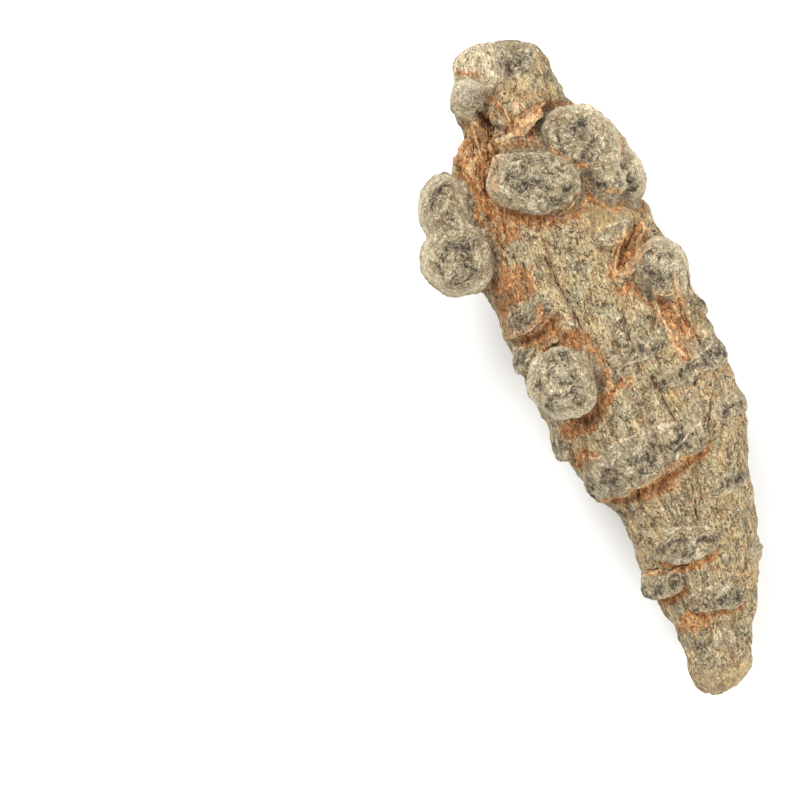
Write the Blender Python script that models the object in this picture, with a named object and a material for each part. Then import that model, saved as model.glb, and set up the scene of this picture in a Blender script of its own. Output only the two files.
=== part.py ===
"""A dried notoginseng root, one solid that grew in one piece.

It lies on a flat surface, on its back: two knobs by the crown and a low bump near the tip carry it,
each on a small flat spot. +X is the root's right side seen from above with the crown away from
you, +Y runs from the tip to the crown, +Z is up. The tables are in millimetres, in root coordinates:
x and y from the middle of the taproot's length, z from the surface that the root lies on.
"""

import math
import random

import bmesh
import bpy
import numpy as np
from mathutils import Matrix, Vector, noise

MM = 0.001

# Both ends along the root, and where the box's middle lies in root coordinates
TIP_END = -34.8
CROWN_END = 34.6
BOX_MIDDLE = (-1.58, -0.08)

# The taproot, from its tip to the stem stump: place along the root, middle of the section sideways
# and above the surface, half the width and half the depth
TAPROOT = (
    (-34.8, 0.4, 5.3, 3.2, 2.8),
    (-31.5, 1.0, 5.6, 3.3, 3.1),
    (-28.5, 1.8, 6.1, 3.9, 3.7),
    (-24.6, 2.2, 6.9, 5.2, 4.8),
    (-21.0, 2.3, 7.5, 6.1, 5.6),
    (-17.0, 2.8, 8.1, 6.5, 6.1),
    (-14.5, 2.9, 8.5, 6.8, 6.5),
    (-12.0, 2.6, 8.9, 7.8, 7.2),
    (-9.0, 2.3, 9.3, 9.0, 8.1),
    (-4.2, 1.8, 9.8, 9.6, 8.6),
    (0.0, 1.3, 10.0, 9.8, 8.8),
    (8.0, 0.2, 10.2, 9.3, 8.6),
    (15.0, -0.6, 10.4, 9.0, 7.7),
    (21.0, -0.9, 10.5, 8.5, 6.9),
    (23.8, -0.9, 10.8, 7.5, 6.4),
    (25.8, -0.9, 10.9, 5.9, 5.5),
    (28.5, -1.0, 11.0, 5.5, 5.3),
    (31.5, -0.8, 11.1, 4.9, 4.7),
    (34.6, -0.4, 11.2, 4.4, 4.2),
)
TIP_ROUNDING = 2.4
CROWN_ROUNDING = 2.2

# The stem broke off aslant: the turn of the crown's end, and where along the root it begins
CROWN_SLANT = -13.0
SLANT_FROM = 27.0

# The knobs: where the middle is, three half axes, and the turn of the long axis seen from above
KNOBS = {
    "shoulder": ((3.9, 22.2, 15.5), (4.5, 3.6, 3.3), -44.0),
    "shoulder_bud": ((5.3, 17.5, 16.0), (1.9, 2.2, 1.8), 0.0),
    "right_shoulder": ((6.9, 17.7, 12.4), (2.6, 3.6, 3.0), 5.0),
    "middle": ((-1.6, 19.6, 17.3), (4.9, 3.5, 2.8), -27.0),
    "upper_left": ((-10.6, 20.2, 13.8), (2.9, 3.5, 2.9), -18.0),
    "lower_left": ((-10.9, 15.0, 14.4), (3.9, 3.8, 3.5), 0.0),
    "right_side": ((7.3, 7.6, 16.5), (3.0, 3.3, 2.8), 0.0),
    "left_side": ((-5.2, 0.2, 17.9), (3.7, 3.8, 2.8), 0.0),
    "stump_node": ((-4.7, 29.7, 14.8), (2.2, 2.2, 2.2), 0.0),
    "stump_back": ((1.4, 29.0, 7.4), (2.8, 2.4, 2.4), 0.0),
    "back_left": ((-5.6, 17.2, 2.9), (3.7, 3.4, 3.4), 20.0),
    "back_right": ((5.4, 20.0, 3.0), (3.1, 3.7, 3.3), -20.0),
    "back_bud": ((0.2, 22.4, 4.4), (2.4, 2.2, 2.4), 0.0),
    "back_middle": ((4.4, 4.6, 3.6), (3.2, 2.8, 2.8), 30.0),
    "back_low": ((2.4, -14.0, 2.2), (3.0, 2.4, 2.4), 0.0),
}

# The swollen flesh that joins knobs to the taproot and to each other, given like the knobs
COLLARS = (
    ((-8.4, 19.0, 11.8), (3.6, 3.8, 3.2), 0.0),
    ((-8.2, 15.2, 12.0), (4.0, 4.2, 3.6), 0.0),
    ((-5.2, 24.2, 11.6), (2.7, 2.7, 3.0), 0.0),
    ((3.2, 20.6, 12.6), (5.4, 5.0, 4.2), -30.0),
    ((-1.6, 19.8, 13.6), (4.8, 3.6, 3.4), -27.0),
    ((7.0, 7.7, 14.2), (2.9, 3.2, 3.0), 0.0),
    ((-5.0, 0.3, 15.2), (3.4, 3.5, 3.2), 0.0),
    ((-4.8, 17.0, 4.9), (4.2, 4.2, 3.0), 0.0),
    ((4.9, 19.4, 5.0), (3.9, 4.4, 3.0), 0.0),
    ((2.4, -13.8, 3.6), (3.8, 3.4, 2.4), 0.0),
)

# Fibres left where a side root tore off at the neck, given like the knobs
FIBRES = (
    ((-5.3, 26.3, 14.6), (0.7, 2.2, 0.8), -10.0),
    ((-7.2, 24.7, 13.6), (0.6, 1.6, 0.7), -64.0),
    ((-7.0, 22.6, 14.6), (0.7, 2.3, 0.8), -27.0),
    ((-5.4, 23.0, 15.4), (0.6, 2.2, 0.8), -16.0),
    ((-0.3, 25.5, 16.0), (0.7, 2.0, 0.9), -61.0),
)

# Raised lens-shaped scars across the taproot: place along and around it, half length, half height,
# tilt and rise. Around is in degrees from the top, towards the right side.
SCARS = (
    (-9.6, -26.0, 8.2, 2.5, 7.0, 1.00),
    (-19.2, -14.0, 3.6, 1.6, -8.0, 0.55),
    (-22.1, -58.0, 3.2, 1.5, 0.0, 0.80),
    (-25.2, 0.0, 3.2, 1.2, -4.0, 0.50),
    (-29.2, 14.0, 1.9, 0.9, 0.0, 0.35),
    (3.6, -74.0, 2.6, 1.4, 0.0, 0.60),
    (7.4, -46.0, 3.4, 1.6, 8.0, 0.55),
    (0.8, 14.0, 4.0, 1.0, 8.0, 0.35),
    (-2.9, 27.0, 2.6, 0.9, 10.0, 0.35),
    (-5.4, -82.0, 3.0, 1.9, 0.0, 0.75),
    (-21.6, 78.0, 2.8, 1.8, 0.0, 0.25),
    (3.2, 80.0, 2.2, 1.1, 0.0, 0.50),
    (-2.4, 56.0, 3.0, 1.1, 6.0, 0.40),
    (12.4, 34.0, 2.8, 1.0, 0.0, 0.35),
    (-14.6, 42.0, 3.2, 1.0, 4.0, 0.30),
    (-7.4, 62.0, 3.6, 1.2, 4.0, 0.35),
    (27.6, 6.0, 4.8, 2.4, -16.0, 0.70),
)
BACK_SCARS = 14
BACK_SEED = 11
BACK_RANGES = ((-26.0, 14.0), (115.0, 245.0), (1.8, 4.2), (0.9, 1.6), (-10.0, 10.0), (0.25, 0.45))

# A scar's edges: how wide its ledge is, the undercut below it, and where it fades in shares of its
# half height towards the crown and of its full height at both ends
LEDGE_WIDTH = 0.6
UNDERCUT_WIDTH = 0.45
UNDERCUT_SHARE = 0.5
FADE_UP = (-0.3, 1.1)
FADE_AT_ENDS = (0.0, 0.6)

# Tears and fissures along the taproot: where each begins and ends along it, the place around it at
# both ends, half width at the crown end and depth
FISSURES = (
    (7.0, -1.2, 49.0, 54.0, 1.20, 1.40),
    (12.5, 4.2, -18.5, -15.5, 0.30, 0.45),
    (5.0, 0.3, 11.5, 5.5, 0.28, 0.38),
    (-1.8, -7.6, 9.5, 12.0, 0.28, 0.40),
    (-13.2, -17.6, 6.5, 1.5, 0.28, 0.40),
    (28.2, 25.2, -34.0, -36.0, 0.80, 1.40),
    (13.0, 8.2, 52.0, 18.0, 1.25, 0.70),
    (10.0, 2.0, 150.0, 156.0, 0.60, 0.70),
    (-4.0, -12.0, 205.0, 199.0, 0.50, 0.60),
    (6.0, -2.0, 246.0, 250.0, 0.45, 0.50),
    (-17.0, -24.0, 165.0, 172.0, 0.45, 0.50),
)
FISSURE_TAPER = 0.65

# Where a tear opens and closes, in shares of its length from the crown end
OPENS = (-0.06, 0.08)
CLOSES = (0.75, 1.05)

# The sunken skin and the lip round each knob
GROOVE_WIDTH = 0.55
GROOVE_DEPTH = 0.60
GROOVE_REACH = 0.8
LIP_AT = 1.25
LIP_WIDTH = 0.45
LIP_RISE = 0.22

# The skin's own forms: grain of the noise in millimetres across and along the root, height, and
# where in the noise each form is read
FOLD_GRAIN = (2.3, 11.0, 2.3)
FOLD_SHARPNESS = 5.0
FOLD_POWER = 1.5
FOLD_DEPTH = 0.40
RING_SPACING = 3.4
RING_GRAIN = (7.0, 9.0, 7.0)
RING_BEND = 1.2
RING_RISE = 0.09
SCAR_GRAIN = (1.9, 1.9, 1.9)
SCAR_WANDER = 0.50
LUMP_GRAIN = (2.6, 2.6, 2.6)
LUMP_RISE = 0.30
KNOB_GRAIN = (1.9, 1.9, 1.9)
KNOB_RISE = 0.40
NOISE_AT = {"scars": 5.3, "folds": 3.7, "rings": 1.9, "lumps": 8.1, "knobs": 6.4}

# Folds and scars fade out between these distances off the taproot, and near the knobs
OFF_TAPROOT = (0.5, 1.3)
OFF_KNOB = (0.1, 0.9)

# How the skin is made: the grid that joins the shapes, and the triangles that are kept
SECTION_POINTS = 48
RINGS = 90
DENSER_AT_ENDS = 0.3
SKIN_GRID = 0.40 * MM
SMOOTHING_ROUNDS = 3
TRIANGLES = 11300
FLOOR_BLOCK = (40.0, 80.0, 10.0)

ROOT_COLOUR = (0.50, 0.42, 0.29, 1.0)
ROOT_ROUGHNESS = 0.85


def clear_scene():
    for obj in list(bpy.data.objects):
        bpy.data.objects.remove(obj)


def step(low, high, value):
    """0 below low, 1 above high, and smooth between."""
    t = np.clip((value - low) / (high - low), 0.0, 1.0)
    return t * t * (3 - 2 * t)


def bell(value, width):
    """1 at zero, falling off smoothly on both sides within about the width."""
    return np.exp(-((value / width) ** 2))


def smooth_between(places, values, at):
    """A smooth curve through the values at the places, read at the places in at."""
    slopes = np.gradient(values, places)
    index = np.clip(np.searchsorted(places, at) - 1, 0, len(places) - 2)
    span = places[index + 1] - places[index]
    t = np.clip((at - places[index]) / span, 0.0, 1.0)
    start = (1 + 2 * t) * (1 - t) ** 2 * values[index] + t * (1 - t) ** 2 * span * slopes[index]
    end = t**2 * (3 - 2 * t) * values[index + 1] + t**2 * (t - 1) * span * slopes[index + 1]
    return start + end


def end_rounding(inward, length):
    """The share of the full section at a distance inward from an end, as on a quarter ellipse."""
    left = 1.0 - np.clip(inward / length, 0.02, 1.0)
    return np.sqrt(1.0 - left**2)


def section_at(along):
    """Middle sideways, middle height, half width and half depth of the taproot at places along it."""
    table = np.array(TAPROOT)
    along = np.atleast_1d(along)
    middle_x, middle_z, width, depth = (
        smooth_between(table[:, 0], table[:, column], along) for column in range(1, 5)
    )
    share = end_rounding(along - TIP_END, TIP_ROUNDING)
    share *= end_rounding(CROWN_END - along, CROWN_ROUNDING)
    return middle_x, middle_z, width * share, depth * share


def add_taproot(bm):
    """The tapering root itself: rings of points along it, bridged into one skin with closed ends."""
    rings = []
    evenly = np.linspace(0, 1, RINGS)
    share = (1 - DENSER_AT_ENDS) * evenly + DENSER_AT_ENDS * (1 - np.cos(math.pi * evenly)) / 2
    for along in TIP_END + (CROWN_END - TIP_END) * share:
        middle_x, middle_z, width, depth = (float(v[0]) for v in section_at(along))
        place = Matrix.Translation(Vector((middle_x, along, middle_z)) * MM)
        slant_share = max((along - SLANT_FROM) / (CROWN_END - SLANT_FROM), 0.0)
        slant = Matrix.Rotation(math.radians(CROWN_SLANT) * slant_share, 4, "Z")
        upright = Matrix.Rotation(math.pi / 2, 4, "X")
        stretch = Matrix.Diagonal((width * MM, depth * MM, 1.0, 1.0))
        ring = bmesh.ops.create_circle(
            bm, segments=SECTION_POINTS, radius=1.0, matrix=place @ slant @ upright @ stretch
        )
        rings.append(list({edge for vert in ring["verts"] for edge in vert.link_edges}))
    for lower, upper in zip(rings, rings[1:]):
        bmesh.ops.bridge_loops(bm, edges=lower + upper)
    for end in (rings[0], rings[-1]):
        bmesh.ops.holes_fill(bm, edges=end, sides=SECTION_POINTS)


def add_egg(bm, middle, half_axes, turn):
    matrix = (
        Matrix.Translation(Vector(middle) * MM)
        @ Matrix.Rotation(math.radians(turn), 4, "Z")
        @ Matrix.Diagonal((*(Vector(half_axes) * MM), 1.0))
    )
    bmesh.ops.create_icosphere(bm, subdivisions=4, radius=1.0, matrix=matrix)


def evaluated_mesh(obj, name):
    """The object's mesh with its modifiers applied."""
    graph = bpy.context.evaluated_depsgraph_get()
    mesh = bpy.data.meshes.new_from_object(obj.evaluated_get(graph), depsgraph=graph)
    mesh.name = name
    return mesh


def joined_skin():
    """The taproot, collars, fibres and knobs under one skin, as a mesh."""
    bm = bmesh.new()
    add_taproot(bm)
    for egg in (*COLLARS, *FIBRES, *KNOBS.values()):
        add_egg(bm, *egg)
    bmesh.ops.recalc_face_normals(bm, faces=bm.faces)
    mesh = bpy.data.meshes.new("shapes")
    bm.to_mesh(mesh)
    bm.free()
    shapes = bpy.data.objects.new("shapes", mesh)
    bpy.context.scene.collection.objects.link(shapes)
    join = shapes.modifiers.new("join", "REMESH")
    join.mode = "VOXEL"
    join.voxel_size = SKIN_GRID
    soften = shapes.modifiers.new("soften", "SMOOTH")
    soften.factor = 0.5
    soften.iterations = SMOOTHING_ROUNDS
    skin = evaluated_mesh(shapes, "skin")
    bpy.data.objects.remove(shapes)
    bpy.data.meshes.remove(mesh)
    return skin


def knob_distance(points, middle, half_axes, turn):
    """How far the points lie from the skin of a knob, in millimetres, negative inside it."""
    local = (points - np.array(middle)) @ np.array(Matrix.Rotation(math.radians(turn), 3, "Z"))
    return (np.linalg.norm(local / np.array(half_axes), axis=1) - 1.0) * min(half_axes)


def wander(points, grain, offset):
    """Smooth noise from -1 to 1 with the given grain in millimetres."""
    scaled = points / np.array(grain) + offset
    return np.array([noise.noise(Vector(point)) for point in scaled])


def sideways_from(around, angle, girth):
    """How far the points lie from a line along the taproot at the angle, measured over the skin."""
    return np.radians(np.mod(around - angle + 180.0, 360.0) - 180.0) * girth


def all_scars():
    """The scars that show from above, and those on the back, which are drawn by a seeded rule."""
    draw = random.Random(BACK_SEED)
    back = [[draw.uniform(low, high) for low, high in BACK_RANGES] for _ in range(BACK_SCARS)]
    return [*SCARS, *back]


def scar_rise(along, around, girth, scar):
    """A lens of raised skin, gentle towards the crown and ending in a ledge towards the tip."""
    centre, angle, half_length, half_height, tilt, rise = scar
    sideways = sideways_from(around, angle, girth)
    up = along - centre
    turn = math.radians(tilt)
    across = (sideways * math.cos(turn) + up * math.sin(turn)) / half_length
    height = (up * math.cos(turn) - sideways * math.sin(turn)) / half_height
    lens = np.sqrt(np.clip(1.0 - across**2, 0.0, 1.0))
    inside = (height + lens) * half_height
    raised = step(-LEDGE_WIDTH / 2, LEDGE_WIDTH / 2, inside) * (1.0 - step(*FADE_UP, height))
    undercut = UNDERCUT_SHARE * bell(inside + UNDERCUT_WIDTH, UNDERCUT_WIDTH)
    return rise * (raised - undercut) * step(*FADE_AT_ENDS, lens)


def fissure_depth(along, around, girth, fissure):
    """A tear that is widest at its crown end and closes towards the tip."""
    top, bottom, angle_top, angle_bottom, half_width, depth = fissure
    t = (top - along) / (top - bottom)
    down = np.clip(t, 0, 1)
    sideways = sideways_from(around, angle_top + (angle_bottom - angle_top) * down, girth)
    across = bell(sideways, half_width * (1.0 - FISSURE_TAPER * down))
    return depth * across * step(*OPENS, t) * (1.0 - step(*CLOSES, t))


def relief(points):
    """How far the skin stands out at the points, in millimetres: scars, tears, folds and lumps."""
    middle_x, middle_z, width, depth = section_at(points[:, 1])
    x = (points[:, 0] - middle_x) / width
    z = (points[:, 2] - middle_z) / depth
    around = np.degrees(np.arctan2(x, z))
    girth = (width + depth) / 2
    off_taproot = (np.hypot(x, z) - 1.0) * girth
    nearest = np.min([knob_distance(points, *knob) for knob in KNOBS.values()], axis=0)

    along = points[:, 1] + SCAR_WANDER * wander(points, SCAR_GRAIN, NOISE_AT["scars"])
    rise = sum(scar_rise(along, around, girth, scar) for scar in all_scars())
    rise -= sum(fissure_depth(along, around, girth, tear) for tear in FISSURES)
    from_fold = np.abs(wander(points, FOLD_GRAIN, NOISE_AT["folds"]))
    rise -= FOLD_DEPTH * np.clip(1.0 - FOLD_SHARPNESS * from_fold, 0.0, 1.0) ** FOLD_POWER
    bend = RING_BEND * wander(points, RING_GRAIN, NOISE_AT["rings"])
    rise += RING_RISE * np.sin(2 * math.pi * (along / RING_SPACING + bend))
    rise += LIP_RISE * bell(nearest - LIP_AT, LIP_WIDTH)
    rise *= (1.0 - step(*OFF_TAPROOT, off_taproot)) * step(*OFF_KNOB, nearest)

    rise -= GROOVE_DEPTH * bell(nearest, GROOVE_WIDTH) * bell(off_taproot, GROOVE_REACH)
    rise += LUMP_RISE * wander(points, LUMP_GRAIN, NOISE_AT["lumps"])
    on_knob = 1.0 - step(*OFF_KNOB, nearest)
    return rise + KNOB_RISE * on_knob * wander(points, KNOB_GRAIN, NOISE_AT["knobs"])


def shape_skin(mesh):
    """Moves each point of the skin along its normal by the relief."""
    count = len(mesh.vertices)
    points = np.empty(count * 3, np.float32)
    normals = np.empty(count * 3, np.float32)
    mesh.vertices.foreach_get("co", points)
    mesh.vertex_normals.foreach_get("vector", normals)
    points = points.reshape(-1, 3).astype(float) / MM
    normals = normals.reshape(-1, 3).astype(float)
    points += normals * relief(points)[:, None]
    points[:, :2] -= np.array(BOX_MIDDLE)
    mesh.vertices.foreach_set("co", (points * MM).astype(np.float32).ravel())
    mesh.update()


def skin_material():
    material = bpy.data.materials.new("dried_root")
    material.use_nodes = True
    shader = material.node_tree.nodes["Principled BSDF"]
    shader.inputs["Base Color"].default_value = ROOT_COLOUR
    shader.inputs["Roughness"].default_value = ROOT_ROUGHNESS
    shader.inputs["Metallic"].default_value = 0.0
    return material


def floor_cutter():
    """The block under the surface, which trims the three low points to flat spots."""
    bm = bmesh.new()
    block = Matrix.Translation((0, 0, -FLOOR_BLOCK[2] / 2 * MM)) @ Matrix.Diagonal(
        (*(Vector(FLOOR_BLOCK) * MM), 1.0)
    )
    bmesh.ops.create_cube(bm, size=1.0, matrix=block)
    mesh = bpy.data.meshes.new("floor_cutter")
    bm.to_mesh(mesh)
    bm.free()
    cutter = bpy.data.objects.new("floor_cutter", mesh)
    cutter.hide_render = True
    cutter.display_type = "WIRE"
    bpy.context.scene.collection.objects.link(cutter)
    return cutter


def build_root():
    skin = joined_skin()
    shape_skin(skin)
    skin.name = "notoginseng_root"
    skin.shade_smooth()
    skin.materials.append(skin_material())
    root = bpy.data.objects.new("notoginseng_root", skin)
    bpy.context.scene.collection.objects.link(root)
    fewer = root.modifiers.new("fewer_faces", "DECIMATE")
    fewer.ratio = TRIANGLES / (2 * len(skin.polygons))
    fewer.use_collapse_triangulate = True
    spots = root.modifiers.new("flat_spots", "BOOLEAN")
    spots.operation = "DIFFERENCE"
    spots.object = floor_cutter()


clear_scene()
build_root()
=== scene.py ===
# %% [markdown]
# # A dried notoginseng root
#
# A root like this is dug up, washed and dried until it is as hard as wood. While it shrinks, its
# skin folds along it, old scars stand out as rough lenses, and the buds round its crown dry to grey
# knobs. This lesson dresses a plain solid root with that skin.
#
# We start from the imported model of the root, which fixes its size and place. Nothing below moves or
# resizes it: the new skin is made over the same forms, with a finer mesh.

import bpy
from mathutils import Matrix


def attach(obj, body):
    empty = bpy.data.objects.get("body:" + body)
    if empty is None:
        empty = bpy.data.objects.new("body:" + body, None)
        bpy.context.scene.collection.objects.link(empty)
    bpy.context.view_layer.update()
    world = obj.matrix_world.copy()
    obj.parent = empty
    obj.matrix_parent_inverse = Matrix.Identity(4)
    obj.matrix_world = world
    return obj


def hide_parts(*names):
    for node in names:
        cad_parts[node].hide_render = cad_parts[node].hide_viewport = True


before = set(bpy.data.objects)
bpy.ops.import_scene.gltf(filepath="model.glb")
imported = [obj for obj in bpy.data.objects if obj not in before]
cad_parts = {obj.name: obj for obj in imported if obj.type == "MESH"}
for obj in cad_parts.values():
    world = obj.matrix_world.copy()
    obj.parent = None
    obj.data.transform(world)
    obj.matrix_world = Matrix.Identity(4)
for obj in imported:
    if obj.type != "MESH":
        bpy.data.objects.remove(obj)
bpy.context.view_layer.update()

# %% [markdown]
# ## The camera
#
# The root lies on its back and we look straight down on it, a little turned, so that it leans to
# the right in the picture. A long lens from far away keeps the shape of the root true. The places
# in this lesson are in millimetres, measured from the middle of the taproot's length and up from
# the table, and MIDDLE is where the middle of the model's box lies there.

# %% Camera
import math
import random

import bmesh
import bpy
import numpy as np
from mathutils import Matrix, Vector, noise

MM = 0.001
MIDDLE = Vector((-1.58, -0.08, 0.0))
VIEW_CENTRE = Vector((-21.0, 3.8, 10.0))
VIEW_WIDTH = 80.0
VIEW_DISTANCE = 440.0
LEAN = math.radians(-19.0)
SENSOR = 36.0
CLIP_START = 0.01

camera_data = bpy.data.cameras.new("camera")
camera_data.sensor_width = SENSOR
camera_data.lens = SENSOR * VIEW_DISTANCE / VIEW_WIDTH
camera_data.clip_start = CLIP_START
camera = bpy.data.objects.new("camera", camera_data)
camera.location = (VIEW_CENTRE - MIDDLE + Vector((0, 0, VIEW_DISTANCE))) * MM
camera.rotation_euler = (0, 0, LEAN)
bpy.context.scene.collection.objects.link(camera)
bpy.context.scene.camera = camera
print("the lens is", round(camera_data.lens), "mm long")

# %% [markdown]
# ## The table and the light
#
# A studio shot of a small herb is bright and soft: one big window of light from the upper left, a
# weaker one from the right to open the shadows, and a pale sheet underneath. The table of lights
# gives each one's place right and up in the picture, its height, its side, all in metres, and its
# watts. The Standard view keeps the sheet white, where the default one would turn it grey.

# %% Table and light
FLOOR_SIDE = 3.0
FLOOR_COLOUR = (0.86, 0.86, 0.85, 1.0)
FLOOR_ROUGHNESS = 0.9
LIGHTS = (
    ("window", -0.30, 0.34, 0.48, 0.34, 5.0),
    ("reflector", 0.50, -0.20, 0.40, 0.40, 4.3),
)
WORLD_COLOUR = (1.0, 1.0, 1.0, 1.0)
WORLD_STRENGTH = 0.78
UP_IN_PICTURE = Vector((math.sin(-LEAN), math.cos(LEAN), 0))
RIGHT_IN_PICTURE = Vector((math.cos(LEAN), math.sin(LEAN), 0))

bpy.context.scene.view_settings.view_transform = "Standard"


def plain_material(name, colour, roughness):
    material = bpy.data.materials.new(name)
    material.use_nodes = True
    shader = material.node_tree.nodes["Principled BSDF"]
    shader.inputs["Base Color"].default_value = colour
    shader.inputs["Roughness"].default_value = roughness
    return material


def object_from(bm, name):
    mesh = bpy.data.meshes.new(name)
    bm.to_mesh(mesh)
    bm.free()
    made = bpy.data.objects.new(name, mesh)
    bpy.context.scene.collection.objects.link(made)
    return made


def soft_window(name, right, up, height, side, watts):
    """A square area light at a place in the picture, aimed at the root."""
    data = bpy.data.lights.new(name, "AREA")
    data.size = side
    data.energy = watts
    light = bpy.data.objects.new(name, data)
    light.location = RIGHT_IN_PICTURE * right + UP_IN_PICTURE * up + Vector((0, 0, height))
    light.rotation_euler = light.location.to_track_quat("Z", "Y").to_euler()
    bpy.context.scene.collection.objects.link(light)


floor_bm = bmesh.new()
bmesh.ops.create_grid(floor_bm, x_segments=1, y_segments=1, size=FLOOR_SIDE / 2)
table = object_from(floor_bm, "pale_table")
table.data.materials.append(plain_material("pale_paper", FLOOR_COLOUR, FLOOR_ROUGHNESS))

for light in LIGHTS:
    soft_window(*light)

world = bpy.data.worlds.new("studio")
bpy.context.scene.world = world
world.use_nodes = True
background = world.node_tree.nodes["Background"]
background.inputs["Color"].default_value = WORLD_COLOUR
background.inputs["Strength"].default_value = WORLD_STRENGTH
print(len(LIGHTS), "soft lights and a table", FLOOR_SIDE, "m wide")

# %% [markdown]
# ## The taproot
#
# The body of the root is a carrot shape, and a carrot shape is a row of rings. A table gives a ring
# where the root changes: its place along the root, its middle and its half width and half depth.
# A smooth curve through the table gives any ring between. Sculpting could make this too, but
# numbers can be checked against a ruler, and the model was built from the same ones.

# %% Taproot
TIP_END = -34.8
CROWN_END = 34.6
TIP_ROUNDING = 2.4
CROWN_ROUNDING = 2.2
CROWN_SLANT = math.radians(-13.0)
SLANT_FROM = 27.0
TAPROOT = np.array((
    (-34.8, 0.4, 5.3, 3.2, 2.8),
    (-31.5, 1.0, 5.6, 3.3, 3.1),
    (-28.5, 1.8, 6.1, 3.9, 3.7),
    (-24.6, 2.2, 6.9, 5.2, 4.8),
    (-21.0, 2.3, 7.5, 6.1, 5.6),
    (-17.0, 2.8, 8.1, 6.5, 6.1),
    (-14.5, 2.9, 8.5, 6.8, 6.5),
    (-12.0, 2.6, 8.9, 7.8, 7.2),
    (-9.0, 2.3, 9.3, 9.0, 8.1),
    (-4.2, 1.8, 9.8, 9.6, 8.6),
    (0.0, 1.3, 10.0, 9.8, 8.8),
    (8.0, 0.2, 10.2, 9.3, 8.6),
    (15.0, -0.6, 10.4, 9.0, 7.7),
    (21.0, -0.9, 10.5, 8.5, 6.9),
    (23.8, -0.9, 10.8, 7.5, 6.4),
    (25.8, -0.9, 10.9, 5.9, 5.5),
    (28.5, -1.0, 11.0, 5.5, 5.3),
    (31.5, -0.8, 11.1, 4.9, 4.7),
    (34.6, -0.4, 11.2, 4.4, 4.2),
))
RING_POINTS = 96
RINGS = 160


def smooth_between(places, values, at):
    """A smooth curve through the values at the places, read at the places in at."""
    slopes = np.gradient(values, places)
    index = np.clip(np.searchsorted(places, at) - 1, 0, len(places) - 2)
    span = places[index + 1] - places[index]
    t = np.clip((at - places[index]) / span, 0.0, 1.0)
    start = (1 + 2 * t) * (1 - t) ** 2 * values[index] + t * (1 - t) ** 2 * span * slopes[index]
    end = t**2 * (3 - 2 * t) * values[index + 1] + t**2 * (t - 1) * span * slopes[index + 1]
    return start + end


def end_rounding(inward, length):
    """The share of its width that the taproot has so far inward from a rounded end."""
    left = 1.0 - np.clip(inward / length, 0.02, 1.0)
    return np.sqrt(1.0 - left**2)


def section_at(along):
    """Middle sideways, middle height, half width and half depth of the taproot at places along it."""
    along = np.atleast_1d(along)
    middle_x, middle_z, width, depth = (
        smooth_between(TAPROOT[:, 0], TAPROOT[:, column], along) for column in range(1, 5)
    )
    share = end_rounding(along - TIP_END, TIP_ROUNDING)
    share *= end_rounding(CROWN_END - along, CROWN_ROUNDING)
    return middle_x, middle_z, width * share, depth * share


def add_taproot(bm):
    """Rings along the taproot, closer together at its ends, bridged and closed."""
    rings = []
    evenly = np.linspace(0, 1, RINGS)
    share = 0.7 * evenly + 0.3 * (1 - np.cos(math.pi * evenly)) / 2
    for along in TIP_END + (CROWN_END - TIP_END) * share:
        middle_x, middle_z, width, depth = (float(v[0]) for v in section_at(along))
        slant = CROWN_SLANT * max((along - SLANT_FROM) / (CROWN_END - SLANT_FROM), 0.0)
        matrix = (
            Matrix.Translation(Vector((middle_x, along, middle_z)) * MM)
            @ Matrix.Rotation(slant, 4, "Z")
            @ Matrix.Rotation(math.pi / 2, 4, "X")
            @ Matrix.Diagonal((width * MM, depth * MM, 1.0, 1.0))
        )
        ring = bmesh.ops.create_circle(bm, segments=RING_POINTS, radius=1.0, matrix=matrix)
        rings.append(list({edge for vert in ring["verts"] for edge in vert.link_edges}))
    for lower, upper in zip(rings, rings[1:]):
        bmesh.ops.bridge_loops(bm, edges=lower + upper)
    for end in (rings[0], rings[-1]):
        bmesh.ops.holes_fill(bm, edges=end, sides=RING_POINTS)


root_bm = bmesh.new()
add_taproot(root_bm)
print("the taproot has", len(root_bm.faces), "faces")

# %% [markdown]
# ## Knobs, collars and torn fibres
#
# Round the crown sit the knobs, where buds and side roots dried back. Each is an egg sunk into the
# taproot. Under some of them the flesh swells, and a few torn fibres stand where a side root was
# pulled off. They are all eggs with three half axes, so one function makes them.

# %% Knobs, collars and fibres
KNOBS = (
    ((3.9, 22.2, 15.5), (4.5, 3.6, 3.3), -44.0),
    ((5.3, 17.5, 16.0), (1.9, 2.2, 1.8), 0.0),
    ((6.9, 17.7, 12.4), (2.6, 3.6, 3.0), 5.0),
    ((-1.6, 19.6, 17.3), (4.9, 3.5, 2.8), -27.0),
    ((-10.6, 20.2, 13.8), (2.9, 3.5, 2.9), -18.0),
    ((-10.9, 15.0, 14.4), (3.9, 3.8, 3.5), 0.0),
    ((7.3, 7.6, 16.5), (3.0, 3.3, 2.8), 0.0),
    ((-5.2, 0.2, 17.9), (3.7, 3.8, 2.8), 0.0),
    ((-4.7, 29.7, 14.8), (2.2, 2.2, 2.2), 0.0),
    ((1.4, 29.0, 7.4), (2.8, 2.4, 2.4), 0.0),
    ((-5.6, 17.2, 2.9), (3.7, 3.4, 3.4), 20.0),
    ((5.4, 20.0, 3.0), (3.1, 3.7, 3.3), -20.0),
    ((0.2, 22.4, 4.4), (2.4, 2.2, 2.4), 0.0),
    ((4.4, 4.6, 3.6), (3.2, 2.8, 2.8), 30.0),
    ((2.4, -14.0, 2.2), (3.0, 2.4, 2.4), 0.0),
)
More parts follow.
